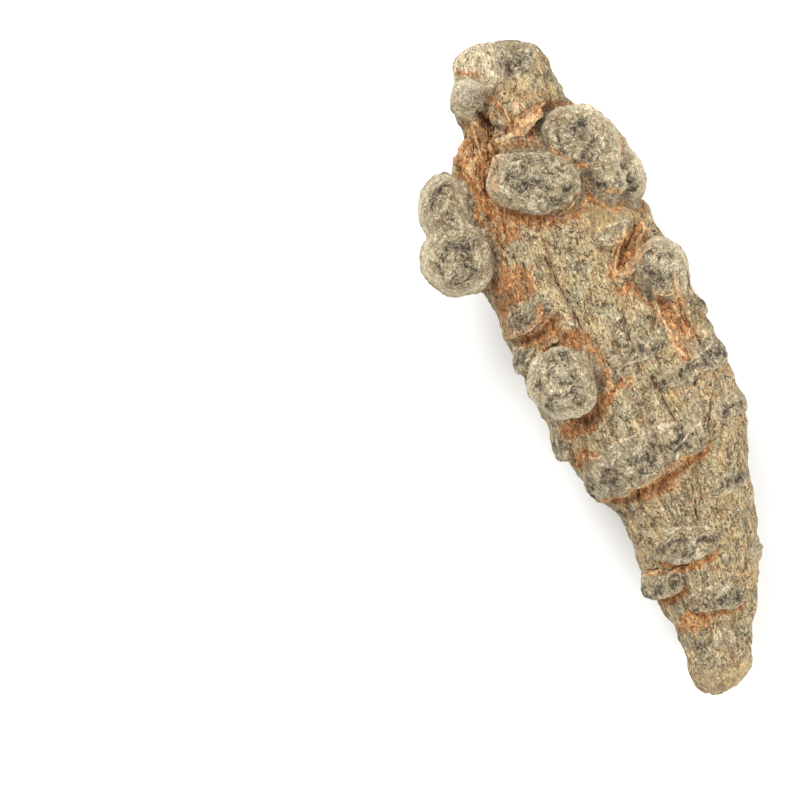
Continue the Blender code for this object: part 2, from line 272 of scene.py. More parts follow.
COLLARS = (
    ((-8.4, 19.0, 11.8), (3.6, 3.8, 3.2), 0.0),
    ((-8.2, 15.2, 12.0), (4.0, 4.2, 3.6), 0.0),
    ((-5.2, 24.2, 11.6), (2.7, 2.7, 3.0), 0.0),
    ((3.2, 20.6, 12.6), (5.4, 5.0, 4.2), -30.0),
    ((-1.6, 19.8, 13.6), (4.8, 3.6, 3.4), -27.0),
    ((7.0, 7.7, 14.2), (2.9, 3.2, 3.0), 0.0),
    ((-5.0, 0.3, 15.2), (3.4, 3.5, 3.2), 0.0),
    ((-4.8, 17.0, 4.9), (4.2, 4.2, 3.0), 0.0),
    ((4.9, 19.4, 5.0), (3.9, 4.4, 3.0), 0.0),
    ((2.4, -13.8, 3.6), (3.8, 3.4, 2.4), 0.0),
)
FIBRES = (
    ((-5.3, 26.3, 14.6), (0.7, 2.2, 0.8), -10.0),
    ((-7.2, 24.7, 13.6), (0.6, 1.6, 0.7), -64.0),
    ((-7.0, 22.6, 14.6), (0.7, 2.3, 0.8), -27.0),
    ((-5.4, 23.0, 15.4), (0.6, 2.2, 0.8), -16.0),
    ((-0.3, 25.5, 16.0), (0.7, 2.0, 0.9), -61.0),
)
EGG_SUBDIVISIONS = 4


def add_egg(bm, middle, half_axes, turn):
    """An egg at its middle, turned in degrees as seen from above."""
    matrix = (
        Matrix.Translation(Vector(middle) * MM)
        @ Matrix.Rotation(math.radians(turn), 4, "Z")
        @ Matrix.Diagonal((*(Vector(half_axes) * MM), 1.0))
    )
    bmesh.ops.create_icosphere(bm, subdivisions=EGG_SUBDIVISIONS, radius=1.0, matrix=matrix)


for egg in (*COLLARS, *FIBRES, *KNOBS):
    add_egg(root_bm, *egg)
print(len(KNOBS), "knobs,", len(COLLARS), "collars and", len(FIBRES), "fibres")

# %% [markdown]
# ## One skin over all of it
#
# The shapes still run through each other. A Boolean would join them with hard seams, but a root
# swells smoothly into its knobs. A voxel remesh lays one even skin over everything, and a few
# rounds of smoothing fill the seams. A cell is a little over two pixels in the picture, so the
# folds and flakes that follow are real shape, and only finer grain is left to the material.

# %% One skin
SKIN_GRID = 0.232 * MM
SMOOTHING = 0.5
SMOOTHING_ROUNDS = 10

bmesh.ops.recalc_face_normals(root_bm, faces=root_bm.faces)
shapes = object_from(root_bm, "shapes")
join = shapes.modifiers.new("join", "REMESH")
join.mode = "VOXEL"
join.voxel_size = SKIN_GRID
soften = shapes.modifiers.new("soften", "SMOOTH")
soften.factor = SMOOTHING
soften.iterations = SMOOTHING_ROUNDS
graph = bpy.context.evaluated_depsgraph_get()
skin_mesh = bpy.data.meshes.new_from_object(shapes.evaluated_get(graph), depsgraph=graph)
bpy.data.objects.remove(shapes)
skin_mesh.name = "dried_root_skin"

count = len(skin_mesh.vertices)
points = np.empty(count * 3, np.float32)
normals = np.empty(count * 3, np.float32)
skin_mesh.vertices.foreach_get("co", points)
skin_mesh.vertex_normals.foreach_get("vector", normals)
points = points.reshape(-1, 3).astype(float) / MM
normals = normals.reshape(-1, 3).astype(float)
print("the skin has", count, "points and", 2 * len(skin_mesh.polygons), "triangles")

# %% [markdown]
# ## Where a point lies on the root
#
# Scars and folds follow the root, so every point needs root coordinates: how far along it lies,
# its angle round the taproot, and how far it is from the nearest knob. The place along the root is
# nudged by noise, so that nothing crosses it in a ruled line. Two small curves, a step and a bell,
# then turn such distances into shapes.

# %% Root coordinates
BORDER_WANDER = 0.50
KNOB_EDGE = (0.1, 0.9)


def step(low, high, value):
    """0 below low, 1 above high, and smooth between."""
    t = np.clip((value - low) / (high - low), 0.0, 1.0)
    return t * t * (3 - 2 * t)


def bell(value, width):
    """1 at zero, falling off smoothly on both sides within about the width."""
    return np.exp(-((value / width) ** 2))


def wander(grain, offset):
    """Smooth noise from -1 to 1 at every point of the skin, with the grain in millimetres."""
    return np.array([noise.noise(Vector(p)) for p in points / np.array(grain) + offset])


def sideways_from(angle):
    """How far the points lie from a line along the taproot at the angle, measured over the skin."""
    return np.radians(np.mod(around - angle + 180.0, 360.0) - 180.0) * girth


def knob_distance(middle, half_axes, turn):
    """How far the points lie outside a knob, below 0 inside it."""
    local = (points - np.array(middle)) @ np.array(Matrix.Rotation(math.radians(turn), 3, "Z"))
    return (np.linalg.norm(local / np.array(half_axes), axis=1) - 1.0) * min(half_axes)


middle_x, middle_z, half_width, half_depth = section_at(points[:, 1])
out_x = (points[:, 0] - middle_x) / half_width
out_z = (points[:, 2] - middle_z) / half_depth
around = np.degrees(np.arctan2(out_x, out_z))
girth = (half_width + half_depth) / 2
off_taproot = (np.hypot(out_x, out_z) - 1.0) * girth
off_knob = np.min([knob_distance(*knob) for knob in KNOBS], axis=0)
along = points[:, 1] + BORDER_WANDER * wander((1.9, 1.9, 1.9), 5.3)
bare = (1.0 - step(0.5, 1.3, off_taproot)) * step(*KNOB_EDGE, off_knob)
print("bare taproot skin:", round(100 * float(np.mean(bare > 0.5))), "percent of the points")

# %% [markdown]
# ## Scars
#
# A scar is a lens of grey bark that lies across the root. Towards the crown it grows out of the
# skin, and towards the tip it ends in a ledge with a rusty shadow under it. The table gives each
# one's place along and around the root, half length, half height, tilt and rise. The same lens also
# tells the material where bark, pale rim and rust belong, so colour and shape always agree. The band
# round the stump has a ledge like a scar's, but its skin stays tan.

# %% Scars
SCARS = (
    (-9.6, -26.0, 8.2, 2.5, 7.0, 0.85),
    (-19.2, -14.0, 3.6, 1.6, -8.0, 0.55),
    (-22.1, -58.0, 3.2, 1.5, 0.0, 0.80),
    (-25.2, 0.0, 3.2, 1.2, -4.0, 0.50),
    (-29.2, 14.0, 1.9, 0.9, 0.0, 0.35),
    (3.6, -74.0, 2.6, 1.4, 0.0, 0.60),
    (7.4, -46.0, 3.4, 1.6, 8.0, 0.55),
    (0.8, 14.0, 4.0, 1.0, 8.0, 0.35),
    (-2.9, 27.0, 2.6, 0.9, 10.0, 0.35),
    (-5.4, -82.0, 3.0, 1.9, 0.0, 0.75),
    (-21.6, 78.0, 2.8, 1.8, 0.0, 0.25),
    (3.2, 80.0, 2.2, 1.1, 0.0, 0.50),
    (-2.4, 56.0, 3.0, 1.1, 6.0, 0.40),
    (12.4, 34.0, 2.8, 1.0, 0.0, 0.35),
    (-14.6, 42.0, 3.2, 1.0, 4.0, 0.30),
    (-7.4, 62.0, 3.6, 1.2, 4.0, 0.35),
)
STUMP_BAND = (27.6, 6.0, 4.8, 2.4, -16.0, 0.70)
BACK_SCARS = 14
BACK_SEED = 11
BACK_RANGES = ((-26.0, 14.0), (115.0, 245.0), (1.8, 4.2), (0.9, 1.6), (-10.0, 10.0), (0.25, 0.45))
LEDGE_WIDTH = 0.6
UNDERCUT = 0.5
UNDERCUT_WIDTH = 0.45
RIM_WIDTH = 0.17
RUST_BELOW = 0.60
RUST_WIDTH = 0.45
FULL_BARK_RISE = 0.4
FULL_RUST_RISE = 0.6

draw = random.Random(BACK_SEED)
back_scars = [[draw.uniform(*limits) for limits in BACK_RANGES] for _ in range(BACK_SCARS)]

rise = np.zeros(count)
grey = np.zeros(count)
core = np.zeros(count)
pale = np.zeros(count)
rust = np.zeros(count)
for scar in (*SCARS, STUMP_BAND, *back_scars):
    place, angle, half_length, half_height, tilt, height = scar
    sideways = sideways_from(angle)
    up = along - place
    turn = math.radians(tilt)
    across = (sideways * math.cos(turn) + up * math.sin(turn)) / half_length
    level = (up * math.cos(turn) - sideways * math.sin(turn)) / half_height
    lens = np.sqrt(np.clip(1.0 - across**2, 0.0, 1.0))
    inside = (level + lens) * half_height
    ends = step(0.0, 0.6, lens)
    raised = step(-LEDGE_WIDTH / 2, LEDGE_WIDTH / 2, inside) * (1.0 - step(-0.3, 1.1, level))
    undercut = UNDERCUT * bell(inside + UNDERCUT_WIDTH, UNDERCUT_WIDTH)
    rise += height * (raised - undercut) * ends
    if scar is STUMP_BAND:
        continue
    strength = min(height / FULL_BARK_RISE, 1.0)
    within = step(0.0, 0.3, inside) * (1.0 - step(-0.3, 0.3, level - lens)) * ends
    grey = np.maximum(grey, within * strength)
    core = np.maximum(core, within * bell(level, 0.6) * strength)
    top_edge = bell((level - lens) * half_height, RIM_WIDTH)
    outline = np.maximum(bell(inside - 0.12, RIM_WIDTH), 0.85 * top_edge)
    pale = np.maximum(pale, 0.95 * outline * ends * strength)
    below = bell(inside + RUST_BELOW, RUST_WIDTH)
    rust = np.maximum(rust, below * ends * min(height / FULL_RUST_RISE, 1.0) ** 2)
print("scarred skin:", round(100 * float(np.mean(grey > 0.5))), "percent of the points")

# %% [markdown]
# ## Tears
#
# Where the skin could not shrink it tore along the root. The table gives each tear's two ends along
# the root, its angles there, its width and its depth. A tear is widest at its crown end. The
# hair-fine ones are only a dark line, partly their own dark colour and partly painted shade in the
# crack. The wide ones show bright rusty fibres inside, with a dark line at the bottom that is partly
# painted shade, and their edges bleach to cream.

# %% Tears
TEARS = (
    (7.0, -1.2, 49.0, 54.0, 1.20, 1.40),
    (12.5, 4.2, -18.5, -15.5, 0.30, 0.45),
    (5.0, 0.3, 11.5, 5.5, 0.28, 0.38),
    (-1.8, -7.6, 9.5, 12.0, 0.28, 0.40),
    (-13.2, -17.6, 6.5, 1.5, 0.28, 0.40),
    (28.2, 25.2, -34.0, -36.0, 0.80, 1.40),
    (13.0, 8.2, 52.0, 18.0, 1.25, 0.70),
    (10.0, 2.0, 150.0, 156.0, 0.60, 0.70),
    (-4.0, -12.0, 205.0, 199.0, 0.50, 0.60),
    (6.0, -2.0, 246.0, 250.0, 0.45, 0.50),
    (-17.0, -24.0, 165.0, 172.0, 0.45, 0.50),
)
NARROWING = 0.65
TEAR_EDGE = 1.25
TEAR_RIM_WIDTH = 0.24

torn = np.zeros(count)
for top, bottom, angle_top, angle_bottom, tear_width, depth in TEARS:
    t = (top - along) / (top - bottom)
    down = np.clip(t, 0, 1)
    sideways = sideways_from(angle_top + (angle_bottom - angle_top) * down)
    open_here = step(-0.06, 0.08, t) * (1.0 - step(0.75, 1.05, t))
    narrowed = tear_width * (1.0 - NARROWING * down)
    rise -= depth * bell(sideways, narrowed) * open_here
    wide = open_here * step(0.45, 0.95, tear_width)
    # The dark line at the bottom of a tear: partly its own dark colour, partly painted shade.
    torn = np.maximum(torn, bell(sideways, 0.30 * narrowed) * open_here)
    rust = np.maximum(rust, bell(sideways, TEAR_EDGE * narrowed) * wide)
    off_edge = np.abs(sideways) - TEAR_EDGE * narrowed
    pale = np.maximum(pale, 1.2 * bell(off_edge, TEAR_RIM_WIDTH) * wide)
print("torn skin:", round(100 * float(np.mean(torn > 0.3)), 1), "percent of the points")

# %% [markdown]
# ## Marks drawn on the skin
#
# Some marks have a shape of their own: cracks as fine as a hair, rims of bark that curl up and
# bleach, streaks of rust, smears of slate. Each is a pencil stroke drawn from above, a few points
# joined by straight lines. The points of the skin are nudged by noise before they are measured
# against a stroke, so the strokes come out as shaky as grown ones.

# %% Strokes
CRACKS = (
    ((-3.1, 12.5), (-2.8, 9.7), (-2.4, 7.7), (-2.0, 4.4)),
    ((-1.5, 13.5), (-1.1, 11.8), (-0.8, 10.0)),
    ((0.0, 8.2), (-0.1, 6.3)),
    ((2.6, 4.4), (2.0, 2.0), (2.2, 0.3)),
    ((3.2, -1.8), (3.0, -3.8), (3.7, -5.0), (4.0, -7.4)),
    ((3.6, -13.2), (3.4, -15.2), (2.9, -17.4)),
    ((7.8, -6.5), (7.0, -9.0)),
    ((-3.9, -20.1), (-2.0, -20.8), (0.3, -21.1), (2.6, -20.9)),
    ((-4.6, 28.3), (-4.2, 27.1), (-3.9, 26.2)),
)
CURLS = (
    (((1.2, 26.1), (-0.1, 25.5), (-1.7, 24.9), (-2.3, 24.7)), 0.34, 0.50),
    (((-5.6, 32.5), (-4.4, 31.8), (-3.0, 31.0), (-2.4, 30.2)), 0.22, 0.15),
    (((6.2, 10.6), (5.4, 9.6), (4.4, 8.6), (3.6, 8.2), (2.9, 8.9)), 0.30, 0.40),
    (((-1.8, -2.0), (-1.3, -1.4), (-0.8, -1.3), (-1.0, -1.8), (-1.7, -2.1)), 0.22, 0.40),
    (((-7.4, 3.4), (-7.0, 4.1), (-6.5, 3.9), (-6.6, 3.0)), 0.25, 0.40),
    (((-5.6, 4.4), (-5.0, 4.8), (-4.4, 4.5)), 0.32, 0.45),
    (((6.1, 5.6), (5.7, 3.1), (6.1, 0.3), (6.7, -1.3)), 0.27, 0.45),
    (((7.7, 4.9), (7.4, 2.7)), 0.26, 0.45),
    (((6.1, 5.9), (7.0, 5.2), (8.6, 5.2)), 0.28, 0.40),
    (((3.0, -9.2), (3.9, -8.8), (5.6, -8.1), (6.6, -7.6)), 0.11, 0.06),
    (((-9.1, 6.2), (-6.7, 6.3), (-4.7, 7.2)), 0.22, 0.25),
)
STREAKS = (
    (((-6.2, 19.5), (-5.1, 17.8), (-3.5, 16.4), (-1.2, 15.8), (0.9, 16.4), (1.9, 17.1)), 0.75, 1.0),
    (((2.1, 26.9), (1.0, 26.2), (-0.5, 26.1), (-2.0, 25.7)), 0.40, 1.0),
    (((-2.9, 29.1), (-2.2, 27.8), (-1.4, 26.2)), 0.35, 0.8),
    (((-5.2, 32.8), (-4.2, 32.3), (-2.9, 31.7)), 0.30, 0.7),
    (((0.9, 22.2), (2.4, 20.5), (4.0, 19.2)), 0.55, 0.9),
    (((7.7, 21.1), (7.8, 20.1), (7.3, 19.4)), 0.30, 0.8),
    (((4.5, 16.4), (5.3, 16.5), (6.0, 16.1)), 0.40, 0.9),
    (((6.6, 11.6), (5.4, 10.9), (4.2, 9.9), (3.0, 9.0)), 0.95, 1.0),
    (((-7.9, 6.0), (-5.8, 5.0), (-4.1, 4.4), (-1.9, 3.4)), 0.80, 1.0),
    (((-3.0, -3.5), (-1.8, -2.8), (-0.8, -2.1), (0.6, -1.7)), 0.55, 1.0),
    (((-6.2, -4.6), (-4.0, -4.2), (-2.2, -3.2)), 0.60, 0.8),
    (((-6.3, -9.8), (-5.6, -11.6), (-4.0, -12.2), (-1.0, -12.0), (0.7, -11.4), (4.2, -10.4)), 0.42, 1.0),
    (((-3.9, -20.4), (-2.0, -21.1), (0.3, -21.4), (2.6, -21.2)), 0.30, 0.8),
    (((6.4, 4.6), (6.4, 1.4), (7.0, -1.4)), 0.75, 1.0),
    (((8.3, 4.9), (8.4, 2.6)), 0.30, 0.9),
    (((-5.0, 7.6), (-4.6, 6.4), (-4.2, 5.2)), 0.70, 1.0),
)
SMEARS = (
    (((3.0, -3.2), (5.0, -3.0), (7.0, -2.7)), 0.55),
    (((2.1, 0.1), (5.7, 0.5)), 0.45),
    (((-0.4, -0.9), (1.8, -0.6)), 0.40),
    (((7.0, -2.5), (8.7, -2.0), (10.4, -1.5)), 0.80),
    (((1.4, -4.1), (2.0, -3.9)), 0.60),
    (((4.5, -7.2), (5.3, -7.0)), 0.55),
    (((-7.6, 8.2), (-7.1, 8.3)), 0.50),
    (((-5.2, 30.6), (-4.3, 30.0)), 0.80),
    (((-5.0, 7.8), (-4.6, 7.9)), 0.50),
)
CRACK_REACH = 0.165
SHAKE = 0.22
FAR = 99.0

drift = np.stack([SHAKE * wander((0.9, 0.9, 0.9), offset) for offset in (21.5, 27.1)], axis=1)
plan = points[:, :2] + drift
facing_up = step(0.0, 0.4, normals[:, 2])


def near_stroke(stroke, reach):
    """1 on the stroke, falling off smoothly within the reach, on skin that faces up."""
    nearest = np.full(count, FAR)
    for start, end in zip(np.array(stroke), np.array(stroke[1:])):
        span = end - start
        share = np.clip((plan - start) @ span / (span @ span), 0.0, 1.0)
        nearest = np.minimum(nearest, np.linalg.norm(plan - start - share[:, None] * span, axis=1))
    return bell(nearest, reach) * facing_up


crack = np.max([near_stroke(stroke, CRACK_REACH) for stroke in CRACKS], axis=0)
crack *= step(-0.65, -0.05, wander((0.8, 1.2, 0.8), 33.7))
smear = np.max([near_stroke(stroke, reach) for stroke, reach in SMEARS], axis=0)
curl_rise = np.zeros(count)
for stroke, reach, height in CURLS:
    curl = near_stroke(stroke, reach)
    curl_rise = np.maximum(curl_rise, height * curl)
    pale = np.maximum(pale, curl)
streak = np.max([share * near_stroke(stroke, reach) for stroke, reach, share in STREAKS], axis=0)
rust = np.maximum(rust, streak)
print("strokes:", len(CRACKS) + len(CURLS) + len(STREAKS) + len(SMEARS))

# %% [markdown]
# ## Folds, knobs and lumps
#
# Then come the large forms of the dried skin: folds along the root where noise crosses zero, faint
# rings across it, a lip and a sunken groove round each knob, and lumps everywhere. These are the
# model's own forms, read from the same noise. The strands are new: where the neck is frayed, its
# fibres lie bare side by side, each pale on top, partly its own colour and partly a painted
# highlight, with dark gaps between them that are painted shade. The strokes' rims and cracks are
# laid over all of it.

# %% Folds and lumps
FOLD_DEPTH = 0.40
RING_HEIGHT, RING_SPACING = 0.09, 3.4
LIP_HEIGHT, LIP_OFF_KNOB = 0.12, 1.25
GROOVE_DEPTH = 0.60
LUMP_HEIGHT, KNOB_LUMP_HEIGHT = 0.30, 0.32
STRAND_HEIGHT = 0.45
CRACK_DEPTH = 0.22
FRAYED = (
    ((-5.6, 24.4), (2.8, 4.6)),
    ((-5.9, 19.6), (1.6, 2.4)),
    ((-2.6, 25.6), (2.4, 1.6)),
    ((-1.6, 27.0), (1.4, 1.6)),
)


def patch(middle, reach):
    """1 in the middle of an ellipse drawn from above, falling off to 0 at its edge."""
    out = np.hypot((plan[:, 0] - middle[0]) / reach[0], (plan[:, 1] - middle[1]) / reach[1])
    return (1.0 - step(0.45, 1.05, out)) * facing_up


def ridges(grain, offset):
    """Sharp ridges where the noise crosses zero, 1 on top, with soft hollows between them."""
    return 1.0 - 2.0 * np.abs(wander(grain, offset))


from_fold = np.abs(wander((2.3, 11.0, 2.3), 3.7))
fold = np.clip(1.0 - 5.0 * from_fold, 0.0, 1.0) ** 1.5
rise -= FOLD_DEPTH * fold
turns = along / RING_SPACING + 1.2 * wander((7.0, 9.0, 7.0), 1.9)
rise += RING_HEIGHT * np.sin(2 * math.pi * turns)
rise += LIP_HEIGHT * bell(off_knob - LIP_OFF_KNOB, 0.45)
rise *= bare
strand = ridges((0.62, 4.2, 0.62), 15.1)
frayed = np.max([patch(*place) for place in FRAYED], axis=0)
rise += STRAND_HEIGHT * frayed * (strand - 0.4)
# Pale on the strands' tops: partly their own colour, partly a painted highlight.
pale = np.maximum(pale, frayed * step(0.50, 0.85, strand))
# Dark in the gaps between strands: painted shade.
torn = np.maximum(torn, 0.5 * frayed * (1.0 - step(0.0, 0.35, strand)))

groove = bell(off_knob, 0.55) * bell(off_taproot, 0.8)
on_knob = 1.0 - step(*KNOB_EDGE, off_knob)
rise -= GROOVE_DEPTH * groove
rise += LUMP_HEIGHT * wander((2.6, 2.6, 2.6), 8.1)
rise += KNOB_LUMP_HEIGHT * on_knob * wander((1.9, 1.9, 1.9), 6.4)
rise += curl_rise - CRACK_DEPTH * crack
pale = np.maximum(pale, 2.4 * crack * (1.0 - crack))
print("the skin stands out by", round(rise.max(), 2), "and in by", round(-rise.min(), 2), "mm")

# %% [markdown]
# ## Fine wrinkles and warts
#
# Up close, the bare skin is a felt of wrinkles that run along the root, weaker on one smooth patch
# and at the tip, and the knobs and scars are warty. Stretching the noise along the root makes the
# wrinkles, and folding it at zero with an absolute value makes sharp ridges between soft hollows,
# as shrivelled skin has.

# %% Wrinkles and warts
TIP_FROM = -30.5
SMOOTH_PATCH = ((5.0, 14.6), (4.4, 3.2))
WRINKLE_HEIGHT, WRINKLE_GRAIN = 0.14, (0.70, 3.0, 0.70)
FINE_WRINKLE_HEIGHT, FINE_WRINKLE_GRAIN = 0.10, (0.45, 1.3, 0.45)
WART_HEIGHT, WART_GRAIN = 0.11, (0.85, 0.85, 0.85)
PIT_DEPTH, PIT_GRAIN = 0.06, (0.5, 0.5, 0.5)

bark = np.maximum(1.0 - step(0.0, 0.32, off_knob), 0.72 * grey)
at_tip = step(0.0, 2.5, TIP_FROM - along)
smooth = np.maximum(patch(*SMOOTH_PATCH), 0.8 * at_tip)
wrinkles = WRINKLE_HEIGHT * (ridges(WRINKLE_GRAIN, 2.3) - 0.5)
wrinkles += FINE_WRINKLE_HEIGHT * (ridges(FINE_WRINKLE_GRAIN, 12.7) - 0.5)
warts = WART_HEIGHT * (ridges(WART_GRAIN, 4.9) - 0.5)
pitted = PIT_DEPTH * wander(PIT_GRAIN, 9.2)

rise += (1.0 - bark) * (1.0 - 0.7 * smooth) * wrinkles
rise += bark * (warts + pitted)
rise += pitted
print("finest wrinkle:", FINE_WRINKLE_GRAIN[0], "mm across")

# %% [markdown]
# ## Moving the skin
#
# So far the heights are only numbers. Now every point moves out along its normal by its own rise,
# and what would go through the table is set down on it, so the root rests on its flat spots.

# %% Move the skin
points += normals * rise[:, None]
points[:, 2] = np.maximum(points[:, 2], 0.0)
placed = (points - np.array(MIDDLE)) * MM
skin_mesh.vertices.foreach_set("co", placed.astype(np.float32).ravel())
skin_mesh.shade_smooth()
skin = bpy.data.objects.new("dried_root_skin", skin_mesh)
bpy.context.scene.collection.objects.link(skin)
print("the skin rests on", int(np.sum(points[:, 2] == 0.0)), "points")

# %% [markdown]
# ## What the material needs to know
#
# Only the shape knows where there is bark, a pale rim, rust or a tear. Each goes into an attribute,
# one number for every point, and the material reads them. Rust also gathers in patches, where the
# skin rubbed off. Core marks the dark tops of the knobs and the middles of the scars. Another
# attribute marks where the skin is lighter: the pale tip, the left side of the stump's cap, partly
# cream and partly painted light from the upper left, and the sideways rims round the knobs, partly
# pale and partly painted light. A third marks the folds, the grooves round the knobs and a few
# deep patches, which darken to deep rust, partly rust in the crevices and partly painted shade.

# %% Attributes
RUST_PATCHES = (
    ((-6.0, 23.8), (3.2, 5.4), 1.0),
    ((-6.3, 19.2), (1.8, 2.6), 0.9),
    ((-5.8, 15.8), (2.0, 1.6), 0.8),
    ((-6.6, 10.9), (3.0, 2.8), 0.72),
    ((-8.9, 8.0), (1.6, 3.0), 0.8),
    ((-5.9, 5.9), (3.0, 2.0), 1.0),
    ((-2.6, 3.8), (1.6, 1.1), 0.8),
    ((-5.2, -4.6), (2.8, 1.4), 0.9),
    ((-5.5, -7.9), (1.8, 1.6), 1.0),
    ((-0.8, -12.6), (4.6, 1.5), 0.7),
    ((-0.4, -26.8), (2.4, 1.6), 0.75),
    ((0.9, 27.6), (2.8, 1.8), 0.38),
    ((3.9, 6.9), (2.2, 1.0), 0.7),
    ((-0.6, 25.3), (3.2, 1.0), 0.8),
    ((3.4, 18.9), (2.8, 1.0), 0.6),
    ((8.4, 3.4), (0.9, 2.4), 0.7),
    ((5.2, 10.4), (2.4, 2.2), 1.0),
    ((7.9, 3.2), (1.8, 4.6), 0.8),
)
CAP_BLOTCH = ((0.7, 32.1), (2.9, 2.9))
HOLLOW = ((4.7, 10.6), (1.9, 2.2))
# Patches that darken to deep rust: partly rust, partly painted shade.
RUST_AND_SHADE_PATCHES = (((-5.0, 6.3), (2.8, 1.5)), ((-8.2, 9.6), (2.0, 1.6)), ((-4.2, 4.5), (3.2, 1.1)))
CAP_FROM = 29.0
STUMP_FROM = (27.0, 28.0)

for middle, reach, strength in RUST_PATCHES:
    rust = np.maximum(rust, strength * patch(middle, reach))
less_on_stump = 1.0 - 0.6 * step(*STUMP_FROM, along)
foot = bell(off_knob - 0.50, 0.36) * step(-0.6, 0.3, 1.0 - off_taproot)
rust = np.maximum(rust, 0.68 * foot * less_on_stump)

knob_top = 1.0 - step(0.0, 0.4, off_knob)
core = np.maximum(core, 0.8 * knob_top * step(0.60, 1.0, normals[:, 2]))
cap_blotch = patch(*CAP_BLOTCH)
bark = np.maximum(bark, np.maximum(0.9 * cap_blotch, 0.7 * smear))
bark *= (1.0 - 0.9 * patch(*HOLLOW)) * (1.0 - 0.8 * streak)
core = np.maximum(core, np.maximum(0.65 * cap_blotch, smear))
# The left side of the stump's cap is made lighter: partly cream, partly painted light from the upper
# left.
bleached = step(CAP_FROM, CAP_FROM + 2.5, along) * (1.0 - step(-2.0, 2.0, points[:, 0]))
bleached *= 1.0 - cap_blotch
bleached += 0.12 * at_tip
# The knobs' rims that turn sideways are made pale and lighter: partly their own colour, partly painted
# light where the lamps light them less.
pale_lit_knob_rim = knob_top * (1.0 - step(0.28, 0.78, normals[:, 2])) * facing_up
pale_lit_knob_rim *= (1.0 - smear) * less_on_stump
pale = np.maximum(pale, 0.62 * pale_lit_knob_rim)
bleached = np.maximum(bleached, pale_lit_knob_rim)
deep_rust_and_shade = np.max([patch(*place) for place in RUST_AND_SHADE_PATCHES], axis=0)

looks = {
    "bark": bark,
    "core": core,
    "pale": pale,
    "rust": rust,
    # Tears, cracks and strand gaps darken: partly their own colour, partly painted shade.
    "torn": np.maximum(torn, crack),
    "smooth": smooth,
    "bleached": bleached,
    # Folds, knob grooves and deep patches darken: partly rust in the crevices, partly painted shade.
    "crease": np.maximum(fold * bare + groove, deep_rust_and_shade),
}
for name, values in looks.items():
    layer = skin_mesh.attributes.new(name, "FLOAT", "POINT")
    layer.data.foreach_set("value", np.clip(values, 0.0, 1.0).astype(np.float32))
    print(name, "covers", round(100 * float(np.mean(values > 0.5)), 1), "percent")

# %% [markdown]
# ## Shader maths as Python
#
# A material is a graph of nodes, and a graph is hard to read. So one small class wraps a socket:
# adding or multiplying two of them makes the Math nodes, and one method makes any other node.

# %% Shader maths
class Wire:
    """An output socket of the material that is being built."""

    tree = None

    def __init__(self, socket):
        self.socket = socket

    @classmethod
    def node(cls, kind, settings=(), sockets=(), output=0):
        """Any node: its settings come first, then the values or links of its sockets."""
        made = cls.tree.nodes.new(kind)
        for name, value in dict(settings).items():
            if name == "stops":
                cls.set_stops(made.color_ramp.elements, value)
            else:
                setattr(made, name, value)
        for name, value in dict(sockets).items():
            if isinstance(value, Wire):
                cls.tree.links.new(value.socket, made.inputs[name])
            else:
                made.inputs[name].default_value = value
        return cls(made.outputs[output])

    @staticmethod
    def set_stops(elements, stops):
        while len(elements) < len(stops):
            elements.new(0.5)
        for element, (place, colour) in zip(elements, stops):
            element.position = place
            element.color = colour

    def math(self, operation, a, b):
        return Wire.node("ShaderNodeMath", {"operation": operation}, {0: a, 1: b})

    def __add__(self, other):
        return self.math("ADD", self, other)

    def __sub__(self, other):
        return self.math("SUBTRACT", self, other)

    def __mul__(self, other):
        return self.math("MULTIPLY", self, other)

    def __rsub__(self, other):
        return self.math("SUBTRACT", other, self)

    __radd__ = __add__
    __rmul__ = __mul__


def between(value, low, high):
    """0 below low, 1 above high, and smooth between."""
    sockets = {"Value": value, "From Min": low, "From Max": high}
    return Wire.node("ShaderNodeMapRange", {"interpolation_type": "SMOOTHSTEP"}, sockets)


def blend(below, above, share):
    """One colour laid over another, by its share of cover."""
    return Wire.node("ShaderNodeMix", {"data_type": "RGBA"}, {0: share, 6: below, 7: above}, 2)


def read(name):
    """An attribute of the skin."""
    return Wire.node("ShaderNodeAttribute", {"attribute_name": name}, output="Fac")


def stretched(per_mm, shift):
    """The place on the root, with so many grains to the millimetre along x, y and z."""
    place = Wire.node("ShaderNodeTexCoord", output="Object")
    scale = tuple(1000.0 * grains for grains in per_mm)
    sockets = {"Vector": place, "Scale": scale, "Location": (shift, shift, shift)}
    return Wire.node("ShaderNodeMapping", (), sockets)


def cloud(per_mm, shift, detail=3.0, distortion=0.0, frayed=0.5):
    """Noise from 0 to 1, mostly near 0.5."""
    return Wire.node("ShaderNodeTexNoise", (), {
        "Vector": stretched(per_mm, shift), "Scale": 1.0, "Detail": detail,
        "Distortion": distortion, "Roughness": frayed,
    })


def strings(per_mm, shift, width, distortion=0.8):
    """Winding lines where a noise crosses its middle, 1 on them and 0 between."""
    off_middle = cloud(per_mm, shift, 2.0, distortion) - 0.5
    size = Wire.node("ShaderNodeMath", {"operation": "ABSOLUTE"}, {0: off_middle})
    return 1.0 - between(size, 0.15 * width, width)


root_finish = bpy.data.materials.new("dried_root_finish")
root_finish.use_nodes = True
Wire.tree = root_finish.node_tree
print("nodes to start with:", len(Wire.tree.nodes))

# %% [markdown]
# ## The khaki skin
#
# The bare skin is khaki, with olive, tan and ochre patches. Over it lie pale fibres and dark creases,
# both winding and drawn out along the root, and dark flecks where soil stayed in the pores. A
# winding line is simply where a noise crosses its middle. The dark ones are broken up by a second,
# larger noise, because on the root no crease runs far, and so are a few rusty veins. Under them a
# Wave texture, bent by its own noise, draws lines as close as those of a fingerprint.

